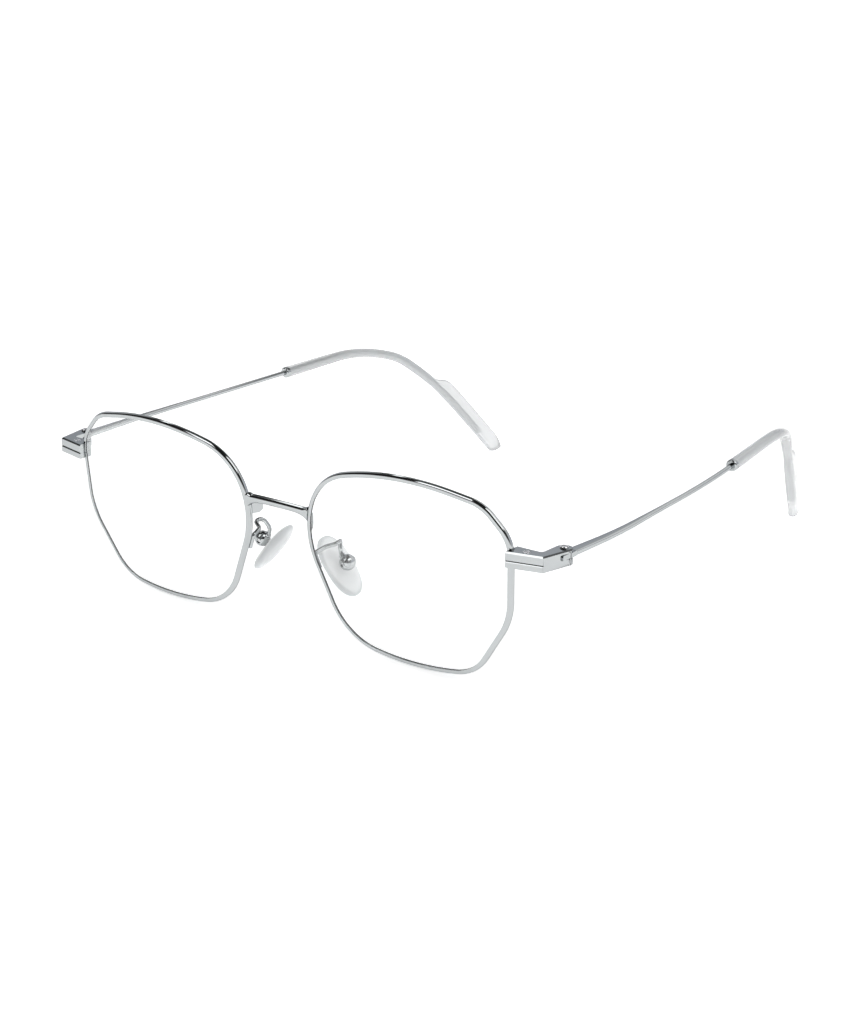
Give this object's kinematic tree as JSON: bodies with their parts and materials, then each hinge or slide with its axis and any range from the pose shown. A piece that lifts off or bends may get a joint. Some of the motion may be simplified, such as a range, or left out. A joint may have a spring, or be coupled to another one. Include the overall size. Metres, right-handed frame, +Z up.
{
  "type": "eyeglasses",
  "caption": "Folding wire spectacles: soft-cornered polygonal rims, clear curved lenses, straight bridge, rocking nose pads, screwed hinges and clear temple tips.",
  "frame": {"origin": "middle of the part's box on the table it rests on with its temples open", "axes": "+Z up; -Y is the way the wearer looks, so the lenses are at -Y and the temples run to +Y; +X is the wearer's left"},
  "size_m": [0.1424, 0.1481, 0.0436],
  "materials": {
    "polished_metal": "polished",
    "screw_metal": "polished",
    "clear_lens": "clear",
    "clear_tip": "clear gloss",
    "pad_plate": "frosted",
    "soft_pad": "clear satin"
  },
  "bodies": {
    "front": {"bridge": "polished_metal", "left_rim": "polished_metal", "right_rim": "polished_metal", "left_lens": "clear_lens", "right_lens": "clear_lens", "left_bridge_gusset": "polished_metal", "right_bridge_gusset": "polished_metal", "left_end_piece": "polished_metal", "right_end_piece": "polished_metal", "left_closing_block": "polished_metal", "right_closing_block": "polished_metal", "left_rim_screw": "screw_metal", "right_rim_screw": "screw_metal", "left_hinge_screw": "screw_metal", "right_hinge_screw": "screw_metal", "left_pad_arm": "polished_metal", "right_pad_arm": "polished_metal", "left_pad_box": "polished_metal", "right_pad_box": "polished_metal", "left_pad_screw": "screw_metal", "right_pad_screw": "screw_metal"},
    "left_temple_body": {"left_hinge_leaf": "polished_metal", "left_temple": "polished_metal", "left_tip_collar": "polished_metal", "left_temple_tip": "clear_tip"},
    "right_temple_body": {"right_hinge_leaf": "polished_metal", "right_temple": "polished_metal", "right_tip_collar": "polished_metal", "right_temple_tip": "clear_tip"},
    "left_pad_body": {"left_pad_insert": "pad_plate", "left_nose_pad": "soft_pad"},
    "right_pad_body": {"right_pad_insert": "pad_plate", "right_nose_pad": "soft_pad"}
  },
  "joints": [
    {"name": "left_temple_hinge", "type": "hinge", "parent": "front", "child": "left_temple_body", "pos_m": [0.06923, -0.06283, 0.03097], "axis": [0, 0, 1], "range_deg": [0, 83]},
    {"name": "right_temple_hinge", "type": "hinge", "parent": "front", "child": "right_temple_body", "pos_m": [-0.06923, -0.06283, 0.03097], "axis": [0, 0, -1], "range_deg": [0, 77]},
    {"name": "left_pad_rock", "type": "hinge", "parent": "front", "child": "left_pad_body", "pos_m": [0.0127, -0.06323, 0.0172], "axis": [0.133, 0.9848, 0.1116], "range_deg": [-10, 10]},
    {"name": "right_pad_rock", "type": "hinge", "parent": "front", "child": "right_pad_body", "pos_m": [-0.0127, -0.06323, 0.0172], "axis": [-0.133, 0.9848, 0.1116], "range_deg": [-10, 10]}
  ]
}
